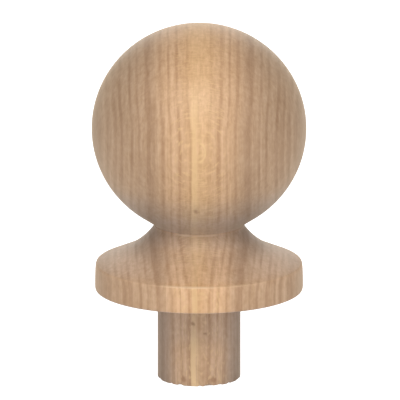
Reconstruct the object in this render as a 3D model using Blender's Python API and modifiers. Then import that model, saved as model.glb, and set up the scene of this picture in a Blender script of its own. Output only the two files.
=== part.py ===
"""Ball newel cap, turned from one piece of hardwood.

A ball stands on a short neck, the neck flares down through a cove into a disc
that seats on the top of a newel post, and a spigot below the disc is glued into
the hole bored in the post.

Metres, +Z up. The origin is the centre of the spigot's lower end, which the cap
stands on when it is off its post.
"""

import math

import bpy

# Ball: wider than it is high, because the lathe's ends are sanded back.
BALL_DIAMETER = 0.082
BALL_HEIGHT = 0.0806

# Neck: a narrow straight band under the ball, cut square into the cove's top edge.
NECK_DIAMETER = 0.0338
NECK_BAND_HEIGHT = 0.0010

# Flare: a cove that eases into a straight slope, measured from the horizontal.
COVE_TOP_SLOPE = math.radians(57.8)
FLARE_SLOPE = math.radians(24.0)
STRAIGHT_FLARE_WIDTH = 0.0086

# Disc: a rim that leans in a little towards its rounded upper edge.
DISC_DIAMETER = 0.0796
RIM_HEIGHT = 0.0086
RIM_LEAN = 0.0004
UPPER_EDGE_RADIUS = 0.0016
UNDER_EDGE_HEIGHT = 0.0013
UNDER_EDGE_DEPTH = 0.0003

# Spigot: a slack fit in a 32 mm hole.
SPIGOT_DIAMETER = 0.0317
SPIGOT_LENGTH = 0.035
SPIGOT_CHAMFER = 0.0003

# Fineness of the turned surface.
STEPS_AROUND = 80
BALL_STEPS = 26
COVE_STEPS = 7
EDGE_STEPS = 4
MERGE_DISTANCE = 0.00001

TIMBER_COLOUR = (0.56, 0.36, 0.20, 1.0)
TIMBER_ROUGHNESS = 0.5


def clear_scene():
    for old in list(bpy.data.objects):
        bpy.data.objects.remove(old)


def timber():
    """Pale brown close-grained hardwood with a fine sanded surface."""
    material = bpy.data.materials.new("timber")
    material.use_nodes = True
    shader = material.node_tree.nodes["Principled BSDF"]
    shader.inputs["Base Color"].default_value = TIMBER_COLOUR
    shader.inputs["Roughness"].default_value = TIMBER_ROUGHNESS
    shader.inputs["Metallic"].default_value = 0.0
    return material


def spread(start, end, steps):
    """Values from start to end, both ends included."""
    return [start + (end - start) * i / steps for i in range(steps + 1)]


def spigot_outline():
    """From the centre of the lower end up to the corner under the disc."""
    radius = SPIGOT_DIAMETER / 2
    return [
        (0.0, 0.0),
        (radius - SPIGOT_CHAMFER, 0.0),
        (radius, SPIGOT_CHAMFER),
        (radius, SPIGOT_LENGTH),
    ]


def rim_outline(seat):
    """From the seat's outer edge, round the disc's widest line, to the foot of the upper edge."""
    widest = DISC_DIAMETER / 2
    under = [
        (
            widest - UNDER_EDGE_DEPTH * (1 - math.sin(turn)),
            seat + UNDER_EDGE_HEIGHT * (1 - math.cos(turn)),
        )
        for turn in spread(0.0, math.pi / 2, EDGE_STEPS)
    ]
    face_height = RIM_HEIGHT - UNDER_EDGE_HEIGHT
    face = [
        (
            widest - RIM_LEAN * (1 - math.cos(turn)),
            seat + UNDER_EDGE_HEIGHT + face_height * math.sin(turn),
        )
        for turn in spread(0.0, math.pi / 2, EDGE_STEPS)[1:]
    ]
    return under + face


def upper_edge_outline(foot):
    """The rounded edge between the rim and the flare, an arc that ends at the flare's slope."""
    radius, height = foot
    return [
        (
            radius - UPPER_EDGE_RADIUS * (1 - math.sin(slope)),
            height + UPPER_EDGE_RADIUS * math.cos(slope),
        )
        for slope in spread(math.pi / 2, FLARE_SLOPE, EDGE_STEPS)[1:]
    ]


def flare_outline(edge):
    """The straight slope in from the rounded edge, then the cove up to the neck."""
    foot_radius = edge[0] - STRAIGHT_FLARE_WIDTH
    foot_height = edge[1] + STRAIGHT_FLARE_WIDTH * math.tan(FLARE_SLOPE)
    cove_run = foot_radius - NECK_DIAMETER / 2
    cove_radius = cove_run / (math.sin(COVE_TOP_SLOPE) - math.sin(FLARE_SLOPE))
    return [
        (
            foot_radius - cove_radius * (math.sin(slope) - math.sin(FLARE_SLOPE)),
            foot_height + cove_radius * (math.cos(FLARE_SLOPE) - math.cos(slope)),
        )
        for slope in spread(FLARE_SLOPE, COVE_TOP_SLOPE, COVE_STEPS)
    ]


def ball_outline(neck_top):
    """From the neck up to the pole. The ball's centre is where its surface meets the neck."""
    across = BALL_DIAMETER / 2
    up = BALL_HEIGHT / 2
    start = math.acos(NECK_DIAMETER / BALL_DIAMETER)
    centre = neck_top + up * math.sin(start)
    rise = spread(-start, math.pi / 2, BALL_STEPS)
    points = [(across * math.cos(turn), centre + up * math.sin(turn)) for turn in rise]
    points[-1] = (0.0, centre + up)
    return points


def cap_outline():
    """The whole turned outline as (radius, height) pairs, from the bottom to the top."""
    outline = spigot_outline()
    outline += rim_outline(SPIGOT_LENGTH)
    outline += upper_edge_outline(outline[-1])
    outline += flare_outline(outline[-1])
    outline += ball_outline(outline[-1][1] + NECK_BAND_HEIGHT)
    return outline


def turned_object(name, outline, material, collection):
    """Turns an outline about Z. A screwed outline has to run from the top to the bottom."""
    points = [(radius, 0.0, height) for radius, height in reversed(outline)]
    edges = [(i, i + 1) for i in range(len(points) - 1)]
    mesh = bpy.data.meshes.new(name)
    mesh.from_pydata(points, edges, [])
    mesh.materials.append(material)
    turned = bpy.data.objects.new(name, mesh)
    collection.objects.link(turned)
    screw = turned.modifiers.new("turning", "SCREW")
    screw.axis = "Z"
    screw.angle = 2 * math.pi
    screw.steps = STEPS_AROUND
    screw.render_steps = STEPS_AROUND
    screw.use_smooth_shade = True
    screw.use_merge_vertices = True
    screw.merge_threshold = MERGE_DISTANCE
    return turned


def main():
    clear_scene()
    collection = bpy.data.collections.new("ball_newel_cap")
    bpy.context.scene.collection.children.link(collection)
    turned_object("newel_cap", cap_outline(), timber(), collection)


main()
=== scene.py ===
"""Looks of the ball newel cap: its turned surface, its timber and a small pale studio.

The cap is one piece, turned about Z, so one finely turned mesh stands for its solid.
The timber is a solid pattern: growth layers, fibres and rays run through the whole
piece, and each surface shows what the lathe laid bare there.
"""

import math

import bpy
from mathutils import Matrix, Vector, noise


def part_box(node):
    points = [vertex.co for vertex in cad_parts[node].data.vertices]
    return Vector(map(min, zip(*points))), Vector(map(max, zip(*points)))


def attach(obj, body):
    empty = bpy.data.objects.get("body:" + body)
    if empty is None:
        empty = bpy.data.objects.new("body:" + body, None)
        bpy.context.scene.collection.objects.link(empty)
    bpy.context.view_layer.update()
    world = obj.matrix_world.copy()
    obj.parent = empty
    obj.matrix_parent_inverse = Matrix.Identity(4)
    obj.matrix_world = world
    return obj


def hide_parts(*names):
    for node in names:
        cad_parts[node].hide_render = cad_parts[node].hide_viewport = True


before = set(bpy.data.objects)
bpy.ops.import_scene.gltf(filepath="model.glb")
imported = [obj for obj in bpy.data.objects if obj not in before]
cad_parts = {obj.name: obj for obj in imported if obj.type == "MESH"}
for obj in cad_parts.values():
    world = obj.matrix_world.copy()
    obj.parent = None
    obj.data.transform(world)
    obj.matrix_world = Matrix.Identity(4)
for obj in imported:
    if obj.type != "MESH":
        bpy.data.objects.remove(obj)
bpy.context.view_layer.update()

LOWEST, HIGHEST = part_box("newel_cap")

# Ball, in metres as all the shape's sizes are.
BALL_RADIUS = (HIGHEST.x - LOWEST.x) / 2
BALL_TOP = HIGHEST.z
BALL_HEIGHT = 0.0806
BALL_CENTRE = BALL_TOP - BALL_HEIGHT / 2

# Neck: set in a little from the cove's top edge, then hollowed up into the ball.
COVE_TOP_RADIUS = 0.0170
LEDGE_WIDTH = 0.0002
LEDGE_ROUND = 0.0002
NECK_RADIUS = COVE_TOP_RADIUS - LEDGE_WIDTH
HOLLOW_TOP = math.radians(-57)

# Flare and disc.
COVE_TOP_SLOPE = math.radians(56.2)
FLARE_SLOPE = math.radians(23.4)
STRAIGHT_FLARE_WIDTH = 0.0092
SEAT_HEIGHT = 0.035
DISC_RADIUS = 0.0398
RIM_HEIGHT = 0.0097
RIM_LEAN = 0.0004
UPPER_EDGE_RADIUS = 0.0006
UNDER_EDGE_HEIGHT = 0.0013
UNDER_EDGE_DEPTH = 0.0003

# Spigot.
SPIGOT_RADIUS = 0.01585
SPIGOT_CHAMFER = 0.0003

# Splinters torn from the spigot's sawn lower edge. A larger share tears more of the edge.
TORN_HEIGHT = 0.0024
TORN_WIDTH = 0.0022
TORN_DEPTH = 0.0009
TORN_SIZE = 0.0016
TORN_SHARE = 0.15

# Fineness of the turned mesh.
STEPS_AROUND = 320
FINE_STEP = 0.0009
TORN_STEPS = 6
LEDGE_STEPS = 6
UNDER_EDGE_STEPS = 8
EDGE_STEPS = 12
NECK_STEPS = 12
COVE_STEPS = 24
MERGE_DISTANCE = 0.00001
SHARP_ANGLE = math.radians(32)

# Camera: far off with a long lens, since the spigot's sides look parallel in the photo.
PHOTO_PIXELS = 400
METRES_PER_PIXEL = 0.000382
VIEW_ELEVATION = math.radians(14.2)
VIEW_DISTANCE = 6.0
SENSOR_WIDTH = 0.036
AIM_SIDE = 0.00037
AIM_HEIGHT = 0.0696

# Millimetres in a metre.
MILLIMETRES = 1000.0


def spread(start, end, steps):
    """Values from start to end, both ends included."""
    return [start + (end - start) * i / steps for i in range(steps + 1)]


def straight(start, end):
    """Points from start up to, but not including, end, a fine step apart."""
    steps = max(1, round((Vector(end) - Vector(start)).length / FINE_STEP))
    return [tuple(Vector(start).lerp(Vector(end), i / steps)) for i in range(steps)]


def spigot_profile():
    """From the centre of the lower end to the corner under the disc."""
    edge = SPIGOT_RADIUS - SPIGOT_CHAMFER
    points = straight((0.0, 0.0), (edge, 0.0))
    points += straight((edge, 0.0), (SPIGOT_RADIUS, SPIGOT_CHAMFER))
    torn = spread(SPIGOT_CHAMFER, TORN_HEIGHT, TORN_STEPS)[:-1]
    points += [(SPIGOT_RADIUS, height) for height in torn]
    points += straight((SPIGOT_RADIUS, TORN_HEIGHT), (SPIGOT_RADIUS, SEAT_HEIGHT))
    return points


def rim_profile():
    """From the corner under the disc, out and up to the foot of the rounded upper edge."""
    points = straight((SPIGOT_RADIUS, SEAT_HEIGHT), (DISC_RADIUS - UNDER_EDGE_DEPTH, SEAT_HEIGHT))
    for turn in spread(0.0, math.pi / 2, UNDER_EDGE_STEPS):
        radius = DISC_RADIUS - UNDER_EDGE_DEPTH * (1 - math.sin(turn))
        points.append((radius, SEAT_HEIGHT + UNDER_EDGE_HEIGHT * (1 - math.cos(turn))))
    face_height = RIM_HEIGHT - UNDER_EDGE_HEIGHT
    for turn in spread(0.0, math.pi / 2, EDGE_STEPS)[1:]:
        radius = DISC_RADIUS - RIM_LEAN * (1 - math.cos(turn))
        points.append((radius, SEAT_HEIGHT + UNDER_EDGE_HEIGHT + face_height * math.sin(turn)))
    return points


def flare_profile(foot):
    """The rounded upper edge, the straight slope and the cove, up to the cove's top edge."""
    points = []
    for slope in spread(math.pi / 2, FLARE_SLOPE, EDGE_STEPS)[1:]:
        radius = foot[0] - UPPER_EDGE_RADIUS * (1 - math.sin(slope))
        points.append((radius, foot[1] + UPPER_EDGE_RADIUS * math.cos(slope)))
    edge = points[-1]
    foot_radius = edge[0] - STRAIGHT_FLARE_WIDTH
    foot_height = edge[1] + STRAIGHT_FLARE_WIDTH * math.tan(FLARE_SLOPE)
    points += straight(edge, (foot_radius, foot_height))[1:]
    cove_run = foot_radius - COVE_TOP_RADIUS
    cove_radius = cove_run / (math.sin(COVE_TOP_SLOPE) - math.sin(FLARE_SLOPE))
    for slope in spread(FLARE_SLOPE, COVE_TOP_SLOPE, COVE_STEPS):
        radius = foot_radius - cove_radius * (math.sin(slope) - math.sin(FLARE_SLOPE))
        points.append((radius, foot_height + cove_radius * (math.cos(FLARE_SLOPE) - math.cos(slope))))
    return points


def ball_point(turn):
    """The point on the ball's outline that is turned this far up from its middle."""
    return Vector((BALL_RADIUS * math.cos(turn), BALL_CENTRE + BALL_HEIGHT / 2 * math.sin(turn)))


def neck_profile(cove_top):
    """Over the cove's rounded top edge, in along the ledge and up the hollow to the ball."""
    centre_radius = cove_top[0] - LEDGE_ROUND * math.sin(COVE_TOP_SLOPE)
    centre_height = cove_top[1] - LEDGE_ROUND * math.cos(COVE_TOP_SLOPE)
    points = []
    for slope in spread(COVE_TOP_SLOPE, 0.0, LEDGE_STEPS)[1:]:
        radius = centre_radius + LEDGE_ROUND * math.sin(slope)
        points.append((radius, centre_height + LEDGE_ROUND * math.cos(slope)))
    foot = Vector((NECK_RADIUS, points[-1][1]))
    top = ball_point(HOLLOW_TOP)
    steepness = BALL_HEIGHT / 2 * math.cos(HOLLOW_TOP) / (-BALL_RADIUS * math.sin(HOLLOW_TOP))
    bend = Vector((NECK_RADIUS, top.y - (top.x - NECK_RADIUS) * steepness))
    for part in spread(0.0, 1.0, NECK_STEPS)[:-1]:
        points.append(tuple(foot.lerp(bend, part).lerp(bend.lerp(top, part), part)))
    return points


def ball_profile():
    """From the top of the hollow to the pole."""
    steps = round((math.pi / 2 - HOLLOW_TOP) * BALL_RADIUS / FINE_STEP)
    points = [tuple(ball_point(turn)) for turn in spread(HOLLOW_TOP, math.pi / 2, steps)]
    points[-1] = (0.0, BALL_TOP)
    return points


def cap_profile():
    """The whole turned outline as (radius, height) pairs, from the bottom to the top."""
    points = spigot_profile() + rim_profile()
    points += flare_profile(points[-1])
    points += neck_profile(points[-1])
    return points + ball_profile()


def turned_mesh(name, profile):
    """Turns the outline about Z. A screwed outline has to run from the top to the bottom."""
    outline = bpy.data.meshes.new(name + "_outline")
    edges = [(i, i + 1) for i in range(len(profile) - 1)]
    outline.from_pydata([(radius, 0.0, height) for radius, height in reversed(profile)], edges, [])
    turned = bpy.data.objects.new(name, outline)
    bpy.context.scene.collection.objects.link(turned)
    screw = turned.modifiers.new("turning", "SCREW")
    screw.axis = "Z"
    screw.angle = 2 * math.pi
    screw.steps = STEPS_AROUND
    screw.render_steps = STEPS_AROUND
    screw.use_smooth_shade = True
    screw.use_merge_vertices = True
    screw.merge_threshold = MERGE_DISTANCE
    mesh = bpy.data.meshes.new_from_object(turned.evaluated_get(bpy.context.evaluated_depsgraph_get()))
    turned.modifiers.clear()
    turned.data = mesh
    bpy.data.meshes.remove(outline)
    mesh.set_sharp_from_angle(angle=SHARP_ANGLE)
    return turned


def tear_lower_edge(mesh):
    """Lifts the spigot's lower edge unevenly, where the saw tore small splinters out."""
    for vertex in mesh.vertices:
        place = vertex.co
        inwards = SPIGOT_RADIUS - Vector((place.x, place.y)).length
        if place.z < TORN_HEIGHT and inwards < TORN_WIDTH:
            torn = max(0.0, noise.noise(Vector((place.x, place.y, 0.0)) / TORN_SIZE) + TORN_SHARE)
            near = (1 - place.z / TORN_HEIGHT) * (1 - inwards / TORN_WIDTH)
            place.z += TORN_DEPTH * torn * near


class Nodes:
    """Adds nodes to a tree. An input given as a socket is linked, and a plain value is set."""

    def __init__(self, tree):
        self.tree = tree

    def add(self, kind, inputs, output=0, **settings):
        made = self.tree.nodes.new(kind)
        for name, value in settings.items():
            setattr(made, name, value)
        for key, value in inputs.items():
            if isinstance(value, bpy.types.NodeSocket):
                self.tree.links.new(value, made.inputs[key])
            else:
                made.inputs[key].default_value = value
        return made.outputs[output]

    def math(self, operation, *values):
        return self.add("ShaderNodeMath", dict(enumerate(values)), operation=operation)

    def product(self, first, *others):
        for other in others:
            first = self.math("MULTIPLY", first, other)
        return first

    def total(self, first, *others):
        for other in others:
            first = self.math("ADD", first, other)
        return first

    def apart(self, first, second):
        """How far apart two values are."""
        return self.math("ABSOLUTE", self.math("SUBTRACT", first, second))

    def sway(self, value, pattern, width):
        """A value moved to and fro over a width, by a pattern that goes from 0 to 1."""
        return self.math("MULTIPLY_ADD", self.math("SUBTRACT", pattern, 0.5), width, value)

    def ramp_up(self, value, start, end, low=0.0, high=1.0):
        """Low until start, high from end, and a smooth change between."""
        inputs = {"Value": value, "From Min": start, "From Max": end, "To Min": low, "To Max": high}
        return self.add("ShaderNodeMapRange", inputs, interpolation_type="SMOOTHSTEP")

    def noise(self, vector, sizes, detail, seed, roughness=0.5):
        """Noise whose blobs have the given sizes along X, Y and Z, in the vector's unit."""
        per_size = tuple(1 / size for size in sizes)
        scaled = self.add("ShaderNodeVectorMath", {0: vector, 1: per_size}, operation="MULTIPLY")
        shifted = self.add("ShaderNodeVectorMath", {0: scaled, 1: (seed, seed, seed)}, operation="ADD")
        inputs = {"Vector": shifted, "Scale": 1.0, "Detail": detail, "Roughness": roughness}
        return self.add("ShaderNodeTexNoise", inputs)

    def distance(self, place, centre, stretch=1.0):
        """How far a place is from a line along Y at (x, z), with heights shrunk by stretch."""
        scale = (1.0, 0.0, 1 / stretch)
        middle = (centre[0], 0.0, centre[1] / stretch)
        flat = self.add("ShaderNodeVectorMath", {0: place, 1: scale}, operation="MULTIPLY")
        return self.add("ShaderNodeVectorMath", {0: flat, 1: middle}, output=1, operation="DISTANCE")

    def mix(self, factor, first, second, **settings):
        """From the first colour at factor 0 to the second at 1."""
        inputs = {0: factor, 6: first, 7: second}
        return self.add("ShaderNodeMix", inputs, output=2, data_type="RGBA", **settings)

    def tint(self, factor, colour, by):
        """Multiplies a colour by another where factor is 1, and leaves it where factor is 0."""
        return self.mix(factor, colour, by, blend_type="MULTIPLY")

    def curve(self, value, stops, reach):
        """A grey value that follows (value, grey) stops, for values from 0 to reach."""
        position = self.math("DIVIDE", value, reach)
        made = self.tree.nodes.new("ShaderNodeValToRGB")
        self.tree.links.new(position, made.inputs["Fac"])
        elements = made.color_ramp.elements
        while len(elements) > 1:
            elements.remove(elements[-1])
        elements[0].position = stops[0][0] / reach
        elements[0].color = (stops[0][1],) * 3 + (1.0,)
        for place, grey in stops[1:]:
            elements.new(place / reach).color = (grey, grey, grey, 1.0)
        made.color_ramp.interpolation = "EASE"
        return made.outputs["Color"]


# The timber. Its places and sizes are in millimetres: side along X, depth along Y and height
# along Z. A noise's three sizes are along the same three. A ramp is (start, end, low, high),
# and one that is only (start, end) goes from 0 to 1.

# Growth layers lie across X, alike on both sides of the middle. Each stop is (distance from
# the middle, darkness): a dark line, or the paler timber between two lines.
GROWTH = (
    (0.0, 0.0),
    (2.6, 0.02),
    (3.4, 0.55),
    (4.3, 0.25),
    (6.5, 0.25),
    (7.4, 1.00),
    (8.2, 0.40),
    (8.9, 0.02),
    (9.8, 0.08),
    (10.6, 0.70),
    (11.4, 0.02),
    (12.6, 0.20),
    (13.7, 0.72),
    (14.9, 0.12),
    (16.6, 0.30),
    (18.0, 0.70),
    (18.9, 1.00),
    (20.3, 0.10),
    (21.8, 0.10),
    (22.7, 0.55),
    (23.5, 0.0),
    (24.6, 0.10),
    (25.5, 0.60),
    (26.4, 0.0),
    (28.3, 0.08),
    (29.3, 0.68),
    (30.3, 0.15),
    (31.9, 0.50),
    (32.8, 0.0),
    (34.4, 0.50),
    (35.5, 0.0),
    (37.3, 0.45),
)
GROWTH_REACH = 46.0

# Below the ball the layers lie further in, and at its top a little further out. Ramps over
# the height say how far.
LAYER_SHIFTS = ((40.0, 61.0, 3.4, 0.0), (5.0, 30.0, 0.6, 0.0), (103.0, 120.0, 0.0, -1.1))

# They also wander: all to one side together, and then each a little in or out.
DRIFT = {"sizes": (40.0, 40.0, 50.0), "detail": 1.0, "seed": 3.0}
DRIFT_WIDTH = 1.2
WANDER = {"sizes": (7.0, 12.0, 34.0), "detail": 2.0, "seed": 11.0}
WANDER_WIDTH = 0.8

# The lines are stronger in patches and towards the sides, most of all on the disc's rim.
# Ramps over the patches, the distance from the middle and the height say how much.
PATCHES = {"sizes": (6.0, 14.0, 20.0), "detail": 2.0, "seed": 5.0}
PATCH_STRENGTH = (0.3, 0.7, 0.6, 1.35)
SIDE_STRENGTH = (14.0, 26.0, 0.45, 1.0)
LOW_STRENGTH = (45.0, 47.0, 1.0, 0.35)

# Curves over the height run from 0 to here.
HEIGHT_REACH = 140.0

# The timber's tone changes a little along its length: (height, half the tone). Much of it is
# painted shade: darker at the spigot's foot, on the spigot under the disc, up the flare below
# the ball and round the neck. The pale band at the cove's top edge is a painted highlight.
TONE_AND_SHADE = (
    (0.0, 0.42),
    (5.0, 0.46),
    (12.0, 0.505),
    (22.0, 0.49),
    (33.0, 0.48),
    (36.0, 0.575),
    (44.5, 0.575),
    (46.0, 0.565),
    (49.0, 0.545),
    (53.0, 0.465),
    (59.4, 0.43),
    (60.2, 0.51),
    (61.0, 0.51),
    (62.2, 0.44),
    (70.0, 0.455),
    (85.0, 0.49),
    (100.0, 0.50),
)

# The sides are darker than the middle, most of all low on the spigot: painted shade where the
# sides turn from the light. A ramp outwards, and ramps over the height whose sum is the change
# of tone.
FLANK_SHADE_OUTWARDS = (8.0, 14.0)
FLANK_SHADES = ((12.0, 34.0, -0.20, -0.13), (34.0, 35.0, 0.0, 0.05))

# Painted light and shade on the ball's sides, the flare's edge and the flare's shoulder: the
# ball's sides are lighter low down and darker high up, the flare's edge is darker and its
# shoulder lighter. Each is a ramp outwards, a ramp upwards from the foot, and the change of
# tone over the height.
SIDE_LIGHTS_AND_SHADES = (
    ((20.0, 28.0), (60.0, 72.0), (72.0, 112.0, 0.10, -0.11)),
    ((28.0, 36.0), (44.5, 46.0), (50.0, 58.0, -0.16, 0.0)),
    ((12.0, 24.0), (44.5, 46.0), (48.0, 53.0, 0.12, 0.0)),
)

# Colours of the timber, from the middle outwards, of its marks, and of the painted highlights
# and shade. A tint or a grain colour multiplies what lies under it.
HEART_WOOD = (0.68, 0.415, 0.216, 1.0)
INNER_WOOD = (0.66, 0.415, 0.241, 1.0)
OUTER_WOOD = (0.54, 0.350, 0.217, 1.0)
HEART_TO_INNER = (1.0, 9.0)
INNER_TO_OUTER = (11.0, 19.0)
LINE_TINT = (0.79, 0.725, 0.67, 1.0)
DARK_GRAIN = (0.59, 0.45, 0.25, 1.0)
LIGHT_GRAIN = (1.41, 1.56, 1.75, 1.0)
PALE_WOOD = (0.80, 0.545, 0.275, 1.0)
# The pale of the painted highlights on the arrises.
HIGHLIGHT_WOOD = (0.80, 0.575, 0.36, 1.0)
# Dark specks, and the torn spots with their painted shade.
DARK_SPECK_AND_SHADE = (0.34, 0.17, 0.08, 1.0)
END_GRAIN_TINT = (0.90, 0.89, 0.88, 1.0)
# Painted shade on the undersides.
UNDER_SHADE_TINT = (0.81, 0.93, 1.16, 1.0)
# Painted shade on the spigot and in the hollows.
GREY_SHADE_TINT = (0.98, 1.07, 1.28, 1.0)

# Fine grain: three noises and the share of each, which add up from a base.
FIBRES = {"sizes": (0.45, 0.6, 14.0), "detail": 3.0, "roughness": 0.65, "seed": 7.0}
STREAKS = {"sizes": (0.9, 6.0, 70.0), "detail": 3.0, "roughness": 0.6, "seed": 9.0}
MOTTLES = {"sizes": (1.6, 1.6, 2.4), "detail": 2.0, "roughness": 0.6, "seed": 17.0}
FIBRE_SHARE = 0.32
STREAK_SHARE = 0.50
MOTTLE_SHARE = 0.44
GRAIN_BASE = -0.13

# Marks that only the front has fade out over this ramp of the depth.
FRONT = (-10.0, 0.0, 1.0, 0.0)

# One narrow pale stripe runs down the front, a little left of the middle. It sways, and
# its edges fray. Each stop is (height, strength).
STRIPE_LEFT = 1.65
STRIPE_EDGE = (0.7, 1.4, 1.0, 0.0)
STRIPE_PATCH_SWAY = 2.0
STRIPE_STREAK_SWAY = 3.0
STRIPE_FRAY = 2.0
STRIPE = (
    (0.0, 0.75),
    (16.0, 0.75),
    (26.0, 0.30),
    (35.0, 0.35),
    (36.0, 0.55),
    (45.0, 0.50),
    (47.0, 0.20),
    (62.0, 0.30),
    (76.0, 0.45),
    (90.0, 0.60),
    (112.0, 0.50),
    (124.0, 0.10),
)

# Rays: thin pale flecks that the lathe laid bare, most of them near the middle.
RAYS = {"sizes": (3.2, 0.24, 2.4), "detail": 1.0, "seed": 13.0}
RAY_STRENGTH = (0.52, 0.70, 0.0, 0.40)
RAY_SIDES = (7.0, 12.0, 1.0, 0.2)

# A pale arc round the ball's foremost point, where the lathe laid a ray bare. It is an upright
# oval that opens to the left. Its strength is full in a core and fades out over its width.
ARC_HEIGHT = 98.4
ARC_RADIUS = 2.4
ARC_STRETCH = 1.5
ARC_CORE = 0.135
ARC_WIDTH = 0.45
ARC_STRENGTH = 0.65
ARC_OPENING = (-0.6, 0.8)

# Small dark specks on the front, and torn spots low on the spigot, which are torn timber with
# painted shade in the torn hollows: (x, z, radius). A speck's core, where its strength is
# full, is a share of its radius.
SPECKS_AND_TORN_SHADE = ((-1.4, 73.2, 1.5), (-2.2, 24.8, 1.2), (2.3, 21.0, 1.0), (-5.7, 2.6, 1.8), (5.5, 2.6, 1.8))
SPECK_CORE = 0.2
SPECK_STRENGTH = 0.7
SPECK_SWAY = 2.0

# Painted highlights along the two turned arrises, the disc's upper edge and the cove's top
# edge, paler towards the front and back middles: (height, reach, half-width, strength). The
# strength is full over a share of the reach, and over one of the half-width.
ARRIS_HIGHLIGHTS = ((45.1, 0.5, 22.0, 0.65), (59.8, 0.5, 11.0, 0.85))
HIGHLIGHT_CORE = 0.3
HIGHLIGHT_MIDDLE = 0.4
HIGHLIGHT_SIDE_STRENGTH = 0.1
HIGHLIGHT_PATCHES = (0.35, 0.6, 0.2, 1.0)

# End grain shows where the surface faces up or down, and the undersides are greyer and
# darker, a painted shade: ramps over how much the surface faces up, from -1 to 1.
END_GRAIN = (0.45, 0.95)
FACING_DOWN_SHADE = (-0.85, -0.40, 1.0, 0.0)

# Painted shade makes the timber on the spigot and in the hollows greyer too: (height, how
# much). The spigot's sides are greyer still, with more painted shade: a ramp outwards and a
# ramp over the height.
HOLLOW_SHADE = (
    (0.0, 0.5),
    (14.0, 0.55),
    (22.0, 1.0),
    (35.0, 1.0),
    (35.6, 0.0),
    (45.0, 0.0),
    (47.0, 0.35),
    (53.0, 0.55),
    (57.0, 1.0),
    (65.0, 1.0),
    (72.0, 0.3),
    (80.0, 0.0),
)
SPIGOT_SIDE_SHADE_OUTWARDS = (7.0, 14.0)
SPIGOT_SIDE_SHADE_HEIGHT = (34.0, 35.0, 0.6, 0.0)

# Surface: fine-sanded, with a low sheen. The bump's distance is in metres.
ROUGHNESS = (0.3, 0.7, 0.42, 0.52)
SPECULAR = 0.4
SHEEN = 0.35
SHEEN_ROUGHNESS = 0.4
SHEEN_TINT = (1.0, 0.82, 0.55, 1.0)
RELIEF_SHARE = 0.5
BUMP_STRENGTH = 0.5
BUMP_DISTANCE = 0.00008


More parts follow.
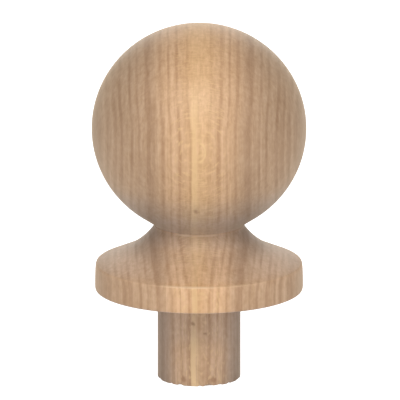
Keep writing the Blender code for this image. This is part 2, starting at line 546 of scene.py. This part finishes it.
class Wood(Nodes):
    """The timber's nodes: the place in the wood, and the noises that its patterns share."""

    def __init__(self, tree):
        super().__init__(tree)
        place = self.add("ShaderNodeTexCoord", {}, output="Object")
        self.place = self.add("ShaderNodeVectorMath", {0: place, "Scale": MILLIMETRES}, operation="SCALE")
        self.side = self.add("ShaderNodeSeparateXYZ", {0: self.place}, output="X")
        self.depth = self.add("ShaderNodeSeparateXYZ", {0: self.place}, output="Y")
        self.height = self.add("ShaderNodeSeparateXYZ", {0: self.place}, output="Z")
        self.across = self.math("ABSOLUTE", self.side)
        self.front = self.ramp_up(self.depth, *FRONT)
        self.patchy = self.noise(self.place, **PATCHES)
        self.fibre = self.noise(self.place, **FIBRES)
        self.streak = self.noise(self.place, **STREAKS)
        self.mottle = self.noise(self.place, **MOTTLES)
        self.layer = self.layer_distance()

    def layer_distance(self):
        """How far out the growth layer at a place is, at the ball's middle."""
        drift = self.noise(self.place, **DRIFT)
        wander = self.noise(self.place, **WANDER)
        layer = self.math("ABSOLUTE", self.sway(self.side, drift, DRIFT_WIDTH))
        layer = self.sway(layer, wander, WANDER_WIDTH)
        shifts = [self.ramp_up(self.height, *shift) for shift in LAYER_SHIFTS]
        return self.total(layer, *shifts)

    def growth_lines(self):
        """How much the growth lines darken a place."""
        lines = self.curve(self.layer, GROWTH, GROWTH_REACH)
        patches = self.ramp_up(self.patchy, *PATCH_STRENGTH)
        sides = self.ramp_up(self.across, *SIDE_STRENGTH)
        low = self.ramp_up(self.height, *LOW_STRENGTH)
        return self.product(lines, patches, self.math("MULTIPLY_ADD", low, sides, 1.0))

    def plain_wood(self):
        """The timber's colour without any pattern."""
        colour = self.mix(self.ramp_up(self.layer, *HEART_TO_INNER), HEART_WOOD, INNER_WOOD)
        return self.mix(self.ramp_up(self.layer, *INNER_TO_OUTER), colour, OUTER_WOOD)

    def tone(self):
        """How light the timber is at a place, 1 being its usual tone, with painted light and shade in it.
        """
        middle = self.product(self.curve(self.height, TONE_AND_SHADE, HEIGHT_REACH), 2.0)
        flank_shade = self.total(*[self.ramp_up(self.height, *ramp) for ramp in FLANK_SHADES])
        flank_shade = self.product(flank_shade, self.ramp_up(self.across, *FLANK_SHADE_OUTWARDS))
        sides = [self.side_light_and_shade(*ramps) for ramps in SIDE_LIGHTS_AND_SHADES]
        return self.total(middle, flank_shade, *sides)

    def side_light_and_shade(self, outwards, upwards, change):
        """Painted light and shade that come in outwards from the middle and upwards from a foot."""
        return self.product(
            self.ramp_up(self.across, *outwards),
            self.ramp_up(self.height, *upwards),
            self.ramp_up(self.height, *change),
        )

    def grain(self):
        """The fine grain, a colour to multiply the timber's by."""
        grain = self.math("MULTIPLY_ADD", self.fibre, FIBRE_SHARE, GRAIN_BASE)
        grain = self.math("MULTIPLY_ADD", self.streak, STREAK_SHARE, grain)
        grain = self.math("MULTIPLY_ADD", self.mottle, MOTTLE_SHARE, grain)
        return self.mix(grain, DARK_GRAIN, LIGHT_GRAIN)

    def stripe(self):
        """How much a place belongs to the pale stripe down the front."""
        away = self.sway(self.side, self.patchy, STRIPE_PATCH_SWAY)
        away = self.sway(away, self.streak, STRIPE_STREAK_SWAY)
        away = self.math("ABSOLUTE", self.math("ADD", away, STRIPE_LEFT))
        away = self.sway(away, self.fibre, STRIPE_FRAY)
        stripe = self.ramp_up(away, *STRIPE_EDGE)
        return self.product(stripe, self.front, self.curve(self.height, STRIPE, HEIGHT_REACH))

    def rays(self):
        """How much a place belongs to a ray's pale fleck."""
        flecks = self.noise(self.place, **RAYS)
        return self.product(self.ramp_up(flecks, *RAY_STRENGTH), self.ramp_up(self.across, *RAY_SIDES))

    def arc(self):
        """How much a place belongs to the pale arc on the ball's front."""
        away = self.distance(self.place, (0.0, ARC_HEIGHT), ARC_STRETCH)
        arc = self.ramp_up(self.apart(away, ARC_RADIUS), ARC_CORE, ARC_WIDTH, ARC_STRENGTH, 0.0)
        return self.product(arc, self.ramp_up(self.side, *ARC_OPENING), self.front)

    def speck(self, side, height, radius):
        """How much a place belongs to one dark speck or torn spot on the front, a torn spot being partly
        painted shade.
        """
        away = self.distance(self.place, (side, height))
        away = self.sway(away, self.mottle, SPECK_SWAY)
        speck = self.ramp_up(away, radius * SPECK_CORE, radius, SPECK_STRENGTH, 0.0)
        return self.product(speck, self.front)

    def arris_highlight(self, height, reach, half_width, strength):
        """How much one arris's painted highlight lightens a place."""
        away = self.apart(self.height, height)
        return self.product(
            self.ramp_up(away, reach * HIGHLIGHT_CORE, reach, strength, 0.0),
            self.ramp_up(self.patchy, *HIGHLIGHT_PATCHES),
            self.ramp_up(self.across, half_width * HIGHLIGHT_MIDDLE, half_width, 1.0, HIGHLIGHT_SIDE_STRENGTH),
        )

    def facing_up(self):
        """How much the surface faces up, from -1 to 1."""
        normal = self.add("ShaderNodeTexCoord", {}, output="Normal")
        return self.add("ShaderNodeSeparateXYZ", {0: normal}, output="Z")

    def hollow_and_spigot_shade(self):
        """How much painted shade greys a place that lies in a hollow or on the spigot."""
        sides = self.product(
            self.ramp_up(self.across, *SPIGOT_SIDE_SHADE_OUTWARDS),
            self.ramp_up(self.height, *SPIGOT_SIDE_SHADE_HEIGHT),
        )
        return self.total(sides, self.curve(self.height, HOLLOW_SHADE, HEIGHT_REACH))

    def roughness(self):
        """The surface's roughness, which follows the fibres."""
        return self.ramp_up(self.fibre, *ROUGHNESS)

    def relief(self, lines):
        """Raised fibres and sunken growth lines, finer than the mesh."""
        height = self.product(self.math("SUBTRACT", self.fibre, lines), RELIEF_SHARE)
        inputs = {"Strength": BUMP_STRENGTH, "Distance": BUMP_DISTANCE, "Height": height}
        return self.add("ShaderNodeBump", inputs)


def timber():
    """Pale brown hardwood, fine-sanded: growth lines, fibres, rays, one pale stripe and small specks,
    with painted shade and painted highlights on its colour.
    """
    material = bpy.data.materials.new("timber")
    material.use_nodes = True
    wood = Wood(material.node_tree)
    lines = wood.growth_lines()
    colour = wood.tint(lines, wood.plain_wood(), LINE_TINT)
    # Scaled by the tone, which carries painted light and shade as well as the timber's own changes.
    colour = wood.add("ShaderNodeVectorMath", {0: colour, "Scale": wood.tone()}, operation="SCALE")
    colour = wood.tint(1.0, colour, wood.grain())
    for mark in (wood.stripe(), wood.rays(), wood.arc()):
        colour = wood.mix(mark, colour, PALE_WOOD)
    # Dark specks, and torn spots with painted shade in them.
    for values in SPECKS_AND_TORN_SHADE:
        colour = wood.mix(wood.speck(*values), colour, DARK_SPECK_AND_SHADE)
    # Painted highlights along the arrises.
    for values in ARRIS_HIGHLIGHTS:
        colour = wood.mix(wood.arris_highlight(*values), colour, HIGHLIGHT_WOOD)
    facing_up = wood.facing_up()
    end_grain = wood.ramp_up(wood.math("ABSOLUTE", facing_up), *END_GRAIN)
    colour = wood.tint(end_grain, colour, END_GRAIN_TINT)
    # Painted shade on the undersides.
    colour = wood.tint(wood.ramp_up(facing_up, *FACING_DOWN_SHADE), colour, UNDER_SHADE_TINT)
    # Painted shade on the spigot and in the hollows.
    colour = wood.tint(wood.hollow_and_spigot_shade(), colour, GREY_SHADE_TINT)

    shader = material.node_tree.nodes["Principled BSDF"]
    links = material.node_tree.links
    links.new(colour, shader.inputs["Base Color"])
    links.new(wood.roughness(), shader.inputs["Roughness"])
    links.new(wood.relief(lines), shader.inputs["Normal"])
    shader.inputs["Metallic"].default_value = 0.0
    shader.inputs["Specular IOR Level"].default_value = SPECULAR
    shader.inputs["Sheen Weight"].default_value = SHEEN
    shader.inputs["Sheen Roughness"].default_value = SHEEN_ROUGHNESS
    shader.inputs["Sheen Tint"].default_value = SHEEN_TINT
    return material


def make_cap():
    """The whole cap as one turned piece, in the place of its solid."""
    cap = turned_mesh("turned_cap", cap_profile())
    tear_lower_edge(cap.data)
    cap.data.materials.clear()
    cap.data.materials.append(timber())
    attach(cap, "root")
    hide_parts("newel_cap")


# The floor glows a little, so that it is as white as the photo's ground. To the camera
# it glows more than to the cap, which gets no more light from below than in the photo.
WHITE = (1.0, 1.0, 1.0, 1.0)
FLOOR_WIDTH = 24.0
FLOOR_COLOUR = (0.4, 0.4, 0.4, 1.0)
FLOOR_ROUGHNESS = 0.9
FLOOR_GLOW = 0.47
FLOOR_EXTRA_GLOW = 0.67
AMBIENT = (0.48, 0.48, 0.48, 1.0)


def seen_by_camera(nodes):
    """1 for what the camera sees directly, and 0 for what lights or mirrors see."""
    return nodes.add("ShaderNodeLightPath", {}, output="Is Camera Ray")


def make_floor():
    """A plain pale floor."""
    bpy.ops.mesh.primitive_plane_add(size=FLOOR_WIDTH, location=(0.0, 0.0, 0.0))
    floor = bpy.context.object
    floor.name = "floor"
    material = bpy.data.materials.new("floor_white")
    material.use_nodes = True
    shader = material.node_tree.nodes["Principled BSDF"]
    shader.inputs["Base Color"].default_value = FLOOR_COLOUR
    shader.inputs["Roughness"].default_value = FLOOR_ROUGHNESS
    shader.inputs["Specular IOR Level"].default_value = 0.0
    shader.inputs["Emission Color"].default_value = WHITE
    nodes = Nodes(material.node_tree)
    glow = nodes.math("MULTIPLY_ADD", seen_by_camera(nodes), FLOOR_EXTRA_GLOW, FLOOR_GLOW)
    nodes.tree.links.new(glow, shader.inputs["Emission Strength"])
    floor.data.materials.append(material)


def direction(azimuth, elevation):
    """Unit vector from the cap, for angles in radians. Azimuth 0 is in front, at -Y, then comes +X."""
    across = math.cos(elevation)
    return Vector((math.sin(azimuth) * across, -math.cos(azimuth) * across, math.sin(elevation)))


def look_from(holder, target, towards, distance):
    """Puts a camera or a lamp at a distance from its target, and turns it to face the target."""
    holder.location = target + towards * distance
    holder.rotation_mode = "QUATERNION"
    holder.rotation_quaternion = towards.to_track_quat("Z", "Y")
    bpy.context.scene.collection.objects.link(holder)


# Lights, all white and square: (name, azimuth and elevation in degrees, width, power). They
# aim at the same point of the cap's axis, from the same distance.
LIGHTS = (
    ("key", 0.0, 45.0, 0.4, 4.1),
    ("low", 0.0, 15.0, 0.4, 0.4),
    ("back", 180.0, 20.0, 0.8, 2.3),
    ("side_left", -50.0, 25.0, 0.5, 0.75),
    ("side_right", 50.0, 25.0, 0.5, 0.75),
)
LIGHT_DISTANCE = 1.0
LIGHT_AIM = Vector((0.0, 0.0, 0.08))


def make_lights():
    """Soft lamps that the camera doesn't see, in a world that is white to it."""
    for name, azimuth, elevation, width, power in LIGHTS:
        lamp = bpy.data.lights.new(name, "AREA")
        lamp.shape = "SQUARE"
        lamp.size = width
        lamp.energy = power
        holder = bpy.data.objects.new(name, lamp)
        holder.visible_camera = False
        towards = direction(math.radians(azimuth), math.radians(elevation))
        look_from(holder, LIGHT_AIM, towards, LIGHT_DISTANCE)
    world = bpy.data.worlds.new("studio")
    world.use_nodes = True
    background = world.node_tree.nodes["Background"]
    background.inputs["Strength"].default_value = 1.0
    nodes = Nodes(world.node_tree)
    colour = nodes.mix(seen_by_camera(nodes), AMBIENT, WHITE)
    nodes.tree.links.new(colour, background.inputs["Color"])
    bpy.context.scene.world = world


def make_camera():
    """A long lens that shows the photo's width at the cap."""
    lens = bpy.data.cameras.new("camera")
    lens.sensor_width = SENSOR_WIDTH * MILLIMETRES
    lens.lens = lens.sensor_width * VIEW_DISTANCE / (PHOTO_PIXELS * METRES_PER_PIXEL)
    camera = bpy.data.objects.new("camera", lens)
    target = Vector((AIM_SIDE, 0.0, AIM_HEIGHT))
    look_from(camera, target, direction(0.0, VIEW_ELEVATION), VIEW_DISTANCE)
    bpy.context.scene.camera = camera


make_camera()
make_cap()
make_floor()
make_lights()
bpy.context.scene.view_settings.view_transform = "Standard"
